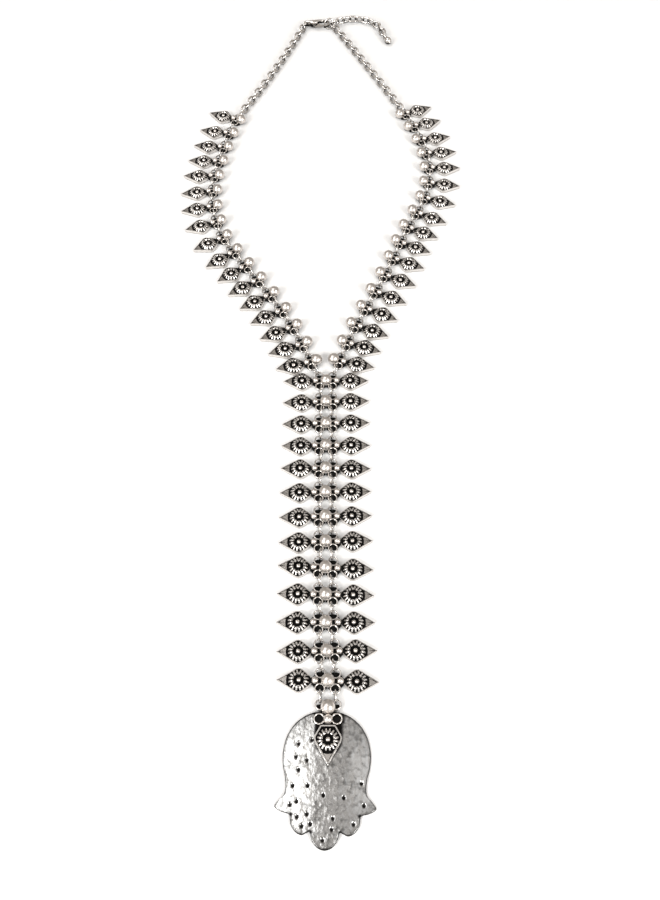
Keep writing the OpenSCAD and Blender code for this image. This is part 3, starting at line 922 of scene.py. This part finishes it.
def chainRun(piece, a, b, links, bow, firstRoll):
    # lying links from a to b, each rolled the other way than the one before
    wide, high = b[0] - a[0], b[1] - a[1]
    reach, heading = hypot(wide, high), degrees(atan2(high, wide))
    step = round((reach - chainLook["room"]) / links * chainLook["finest"]) / chainLook["finest"]
    half = (step + chainLook["room"]) / 2
    shape = linkShape(half)
    for k in range(links):
        t = (half + k * step) / reach
        x, y = ahead((a[0] + wide * t, a[1] + high * t), heading + 90, 4 * bow * t * (1 - t))
        lean = degrees(atan2(4 * bow * (1 - 2 * t), reach))
        roll = firstRoll if k % 2 == 0 else -firstRoll
        piece.add(shape, linkPlace(x, y, chainLook["height"], heading + lean, roll))


# rings in the clasp's eye and hook; in brackets are the angle and reach at which a link hooks in
claspSpot = (-15.0, 524.3)
eyeRing = {"heading": -128.6, "lean": 30, "radius": 2.15, "wire": 0.4, "from": 1.85, "rise": 0.42,
           "chain": (-30, 0.95)}
hookRing = {"heading": -2.9, "lean": 50.8, "radius": 3.0, "wire": 0.45, "from": 14.58, "rise": 0.47,
            "join": (-41, 1.37), "extender": (14.2, 1.14)}
# the ring that joins the right chain, which hooks in so far along and across it
joinRing = {"heading": -47, "roll": -38, "radius": 2.2, "wire": 0.4, "chain": (2.91, 0.37)}
claspRingSteps = {"sides": 14, "steps": 40}


def inRing(ring, hooked):
    angle, reach = hooked
    x, y, z = ring["place"]
    a, h, s = radians(angle), radians(ring["heading"]), radians(ring["lean"])
    return (x + reach * (cos(a) * cos(h) - sin(a) * sin(h) * sin(s)),
            y + reach * (cos(a) * sin(h) + sin(a) * cos(h) * sin(s)),
            z + reach * sin(a) * cos(s))


for ring, spot in ((eyeRing, ahead(claspSpot, eyeRing["heading"], eyeRing["from"])),
                   (hookRing, (claspSpot[0] + hookRing["from"], claspSpot[1]))):
    ring["place"] = (*spot, ring["radius"] * cos(radians(ring["lean"])) + ring["rise"])
joinTip = inRing(hookRing, hookRing["join"])
leftTip = inRing(eyeRing, eyeRing["chain"])
along, across = joinRing["chain"]
rightTip = ahead(ahead(joinTip, joinRing["heading"], along), joinRing["heading"] + 90, across)

piece = Piece("leftChain")
start = onSpike(leftSpots[-1], loopAt, -loopAt)
turn = degrees(atan2(leftTip[1] - start[1], leftTip[0] - start[0])) - chainLook["firstTurn"]
start = ahead(start, turn, chainLook["firstReach"])
chainRun(piece, start, leftTip, chainLook["leftLinks"], chainLook["leftBow"], -chainLook["roll"])
piece.build([finishes["chain"]], "necklace", ["left_chain"])
piece = Piece("rightChain")
start = onSpike(rightSpots[-1], loopAt, loopAt)
turn = degrees(atan2(start[1] - rightTip[1], start[0] - rightTip[0]))
start = ahead(start, turn, -chainLook["firstReach"])
chainRun(piece, rightTip, start, chainLook["rightLinks"], chainLook["rightBow"], chainLook["roll"])
piece.build([finishes["chain"]], "necklace", ["right_chain"])

piece = Piece("claspRings")
for ring in (eyeRing, hookRing):
    size = ring["radius"], ring["wire"]
    piece.add(*hungRing(ring["place"], ring["heading"], ring["lean"], *size, **claspRingSteps))
spot = ahead(joinTip, joinRing["heading"], joinRing["radius"])
path = ringPath(joinRing["radius"], claspRingSteps["steps"])
piece.add(tubeShape(path, joinRing["wire"], plain, claspRingSteps["sides"]),
          linkPlace(*spot, joinTip[2], joinRing["heading"], joinRing["roll"]))
piece.build([finishes["chain"]], "necklace", ["clasp_rings"])

# heading and roll of each link of the extender
extenderRows = [(28.6, -56), (24, 18), (12, -72), (2, 18), (-10, -72), (-20, 18), (-34, -72), (-48, 18),
                (-66, -72), (-78, 18), (-72, -72)]
extenderLook = {"pitch": 4.2, "height": 2.3, "levelFrom": 2}
extenderTip = inRing(hookRing, hookRing["extender"])
extenderHeights = [(0, extenderTip[2]), (extenderLook["levelFrom"], extenderLook["height"])]
half = (extenderLook["pitch"] + chainLook["room"]) / 2
shape = linkShape(half)
piece = Piece("extenderChain")
spot = ahead(extenderTip, extenderRows[0][0], half)
for k, (heading, roll) in enumerate(extenderRows):
    piece.add(shape, linkPlace(*spot, between(extenderHeights, k), heading, roll))
    lastSpot = spot
    for h in (heading, extenderRows[min(k + 1, len(extenderRows) - 1)][0]):
        spot = ahead(spot, h, extenderLook["pitch"] / 2)
piece.build([finishes["chain"]], "necklace", ["extender_chain"])

# the ball at the extender's end, with a neck and an eye towards the last link
endLook = {
    "ball": 2.2,
    "turn": 12,
    "eye": 1.2,
    "eyeWire": 0.35,
    "eyeGap": 0.75,
    "eyeRoll": 18,
    "eyeHook": 0.1,
    "neck": 0.6,
    "neckFrom": 0.5,
    "neckRows": [(0.3, 1), (0.45, 0.75), (0.5, 0.4)],  # past the ball, share of the neck's width
}
ball = endLook["ball"]
heading = extenderRows[-1][0]
turn = heading + endLook["turn"]
eye = ahead(lastSpot, heading, half - endLook["eyeHook"])
spot = ahead(eye, turn, ball + endLook["eyeGap"])
place = placeAt(*spot, turn) @ Matrix.Translation((0, 0, ball + floorGap))
section = ringPath(endLook["neck"], steps=16)
neckRows = [(endLook["neckFrom"], 1)] + [(ball + past, share) for past, share in endLook["neckRows"]]
piece = Piece("endBall")
piece.add(ballShape(ball, (0, 0, 0), plain, sides=32, rows=18), place)
loops = [[(x, share * p[0], share * p[1]) for p in section] for x, share in neckRows]
piece.add(skin(loops, plain, closeStart=True, closeEnd=True), place)
piece.add(tubeShape(ringPath(endLook["eye"], steps=28), endLook["eyeWire"], plain, sides=12),
          linkPlace(*eye, extenderLook["height"], turn, endLook["eyeRoll"]))
piece.build([finishes["chain"]], "necklace", ["end_ball"])
print("chains placed")

# clasp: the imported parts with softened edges, and a rounded claw over the body's front
claspLook = {"bodyFinish": "sideShaded", "leverFinish": "chain", "softenBy": 0.45, "softenSteps": 4}
for name, finish in (("clasp_body", claspLook["bodyFinish"]), ("clasp_lever", claspLook["leverFinish"])):
    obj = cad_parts[name]
    for s in obj.material_slots:
        s.material = finishes[finish]
    soften = obj.modifiers.new("soften", "BEVEL")
    soften.width = claspLook["softenBy"] / 1000
    soften.segments = claspLook["softenSteps"]
    soften.limit_method = "ANGLE"

clawLook = {"steps": 6, "sides": 18, "rivet": 0.62, "rivetAt": (4.6, -1.0), "rivetTop": 3.62}
# along the claw: across, up, half width, height of its middle, half thickness
clawRows = [(-1.75, 0.1, 0.25, 3.0, 0.2), (-1.3, 0.9, 0.42, 2.95, 0.38), (-0.2, 1.5, 0.5, 2.95, 0.45),
            (1.2, 1.35, 0.75, 3.1, 0.5), (2.8, 0.95, 1.15, 3.3, 0.5), (4.4, 0.75, 1.45, 3.4, 0.5),
            (6.0, 1.1, 1.35, 3.4, 0.5), (7.6, 1.95, 1.0, 3.3, 0.5), (9.2, 2.55, 0.8, 2.9, 0.6),
            (10.6, 2.75, 0.75, 2.45, 0.75), (12.1, 2.65, 0.75, 2.3, 0.78), (13.4, 1.9, 0.75, 2.3, 0.78),
            (14.1, 0.6, 0.75, 2.3, 0.78), (14.05, -0.8, 0.74, 2.3, 0.76), (13.2, -2.05, 0.72, 2.3, 0.74),
            (11.9, -2.72, 0.66, 2.3, 0.72), (11.15, -2.8, 0.5, 2.3, 0.5)]


def clawShape():
    rows = curveThrough(clawRows, clawLook["steps"])
    circle = [(cos(a), sin(a)) for a in (2 * pi * k / clawLook["sides"] for k in range(clawLook["sides"]))]
    loops = []
    for i, (x, y, half, height, thick) in enumerate(rows):
        following, before = rows[min(i + 1, len(rows) - 1)], rows[max(i - 1, 0)]
        way = Vector((following[0] - before[0], following[1] - before[1])).normalized() * half
        loops.append([(x - way[1] * c, y + way[0] * c, height - thick * s) for c, s in circle])
    return skin(loops, plain, closeStart=True, closeEnd=True)


piece = Piece("claspClaw")
place = placeAt(*claspSpot)
rivet = clawLook["rivet"]
piece.add(clawShape(), place)
rivetSpot = (*clawLook["rivetAt"], clawLook["rivetTop"] - rivet)
piece.add(ballShape(rivet, rivetSpot, plain, sides=20, rows=12), place)
piece.build([finishes["chain"]], "necklace", [], sharp=60)
print("clasp finished")

# pale table, two soft lights and a dim room with two soft glows overhead
studio = {
    "floor": (0.8, 0.8, 0.8),
    "floorRough": 0.7,
    "floorSize": 6,
    "floorDepth": 0.0001,
    "lightHeight": 0.82,
    "lightSide": 0.9,
    "lightFront": 0.85,
    "lightSize": 0.62,
    "lightColor": (1.0, 0.985, 0.965),
    "aim": (0, -0.03, 0),
    "leftPower": 17.5,
    "rightPower": 15.5,
    "room": (0.46, 0.43, 0.40),
    "front": (1.0, 0.985, 0.965),
    "frontBand": (-0.5, -0.82),
    "glows": [
        {"color": (3.1, 3.07, 3.03), "way": (-0.42, 0.12, 0.9), "edge": (0.925, 0.975)},
        {"color": (0.8, 0.79, 0.78), "way": (0.42, 0.14, 0.9), "edge": (0.93, 0.975)},
    ],
    "roomStrength": 1.0,
    "exposure": 0.0,
}
bpy.ops.mesh.primitive_plane_add(size=studio["floorSize"])
floor = bpy.context.object
floor.name = "floor"
floorFinish = bpy.data.materials.new("paleTable")
floorFinish.use_nodes = True
shader = floorFinish.node_tree.nodes["Principled BSDF"]
shader.inputs["Base Color"].default_value = (*studio["floor"], 1)
shader.inputs["Roughness"].default_value = studio["floorRough"]
floor.data.materials.append(floorFinish)
floor.location.z = -studio["floorDepth"]

for name, side, power in (("leftLight", -1, studio["leftPower"]), ("rightLight", 1, studio["rightPower"])):
    light = bpy.data.lights.new(name, "AREA")
    light.shape = "SQUARE"
    light.size = studio["lightSize"]
    light.energy = power
    light.color = studio["lightColor"]
    lamp = bpy.data.objects.new(name, light)
    bpy.context.scene.collection.objects.link(lamp)
    lamp.location = (side * studio["lightSide"], -studio["lightFront"], studio["lightHeight"])
    lamp.rotation_euler = (Vector(studio["aim"]) - lamp.location).to_track_quat("-Z", "Y").to_euler()

world = bpy.data.worlds.new("room")
bpy.context.scene.world = world
world.use_nodes = True
nodes, links = world.node_tree.nodes, world.node_tree.links
coords = nodes.new("ShaderNodeTexCoord")
parts = nodes.new("ShaderNodeSeparateXYZ")
links.new(coords.outputs["Generated"], parts.inputs["Vector"])
frontness = mapNode(nodes, links, parts.outputs["Y"], *studio["frontBand"])
mix = mixNode(nodes)
mix.inputs["A"].default_value = (*studio["room"], 1)
mix.inputs["B"].default_value = (*studio["front"], 1)
links.new(frontness.outputs["Result"], mix.inputs["Factor"])
behind = mix.outputs["Result"]
for glow in studio["glows"]:
    toGlow = nodes.new("ShaderNodeVectorMath")
    toGlow.operation = "DOT_PRODUCT"
    toGlow.inputs[1].default_value = Vector(glow["way"]).normalized()
    links.new(coords.outputs["Generated"], toGlow.inputs[0])
    glowEdge = mapNode(nodes, links, toGlow.outputs["Value"], *glow["edge"])
    glowEdge.interpolation_type = "SMOOTHSTEP"
    mix = mixNode(nodes)
    mix.inputs["B"].default_value = (*glow["color"], 1)
    links.new(glowEdge.outputs["Result"], mix.inputs["Factor"])
    links.new(behind, mix.inputs["A"])
    behind = mix.outputs["Result"]
links.new(behind, nodes["Background"].inputs["Color"])
nodes["Background"].inputs["Strength"].default_value = studio["roomStrength"]

cameraLook = {"height": 0.348, "tilt": 30.5, "lens": 34.8, "sensor": 36, "nearest": 0.01}
camera = bpy.data.objects.new("camera", bpy.data.cameras.new("camera"))
bpy.context.scene.collection.objects.link(camera)
camera.data.lens = cameraLook["lens"]
camera.data.sensor_width = cameraLook["sensor"]
camera.data.clip_start = cameraLook["nearest"]
camera.location = (-middle[0] / 1000, -middle[1] / 1000, cameraLook["height"])
camera.rotation_euler = (radians(cameraLook["tilt"]), 0, 0)
bpy.context.scene.camera = camera
bpy.context.scene.view_settings.view_transform = "Standard"
bpy.context.scene.view_settings.exposure = studio["exposure"]
print("studio ready")
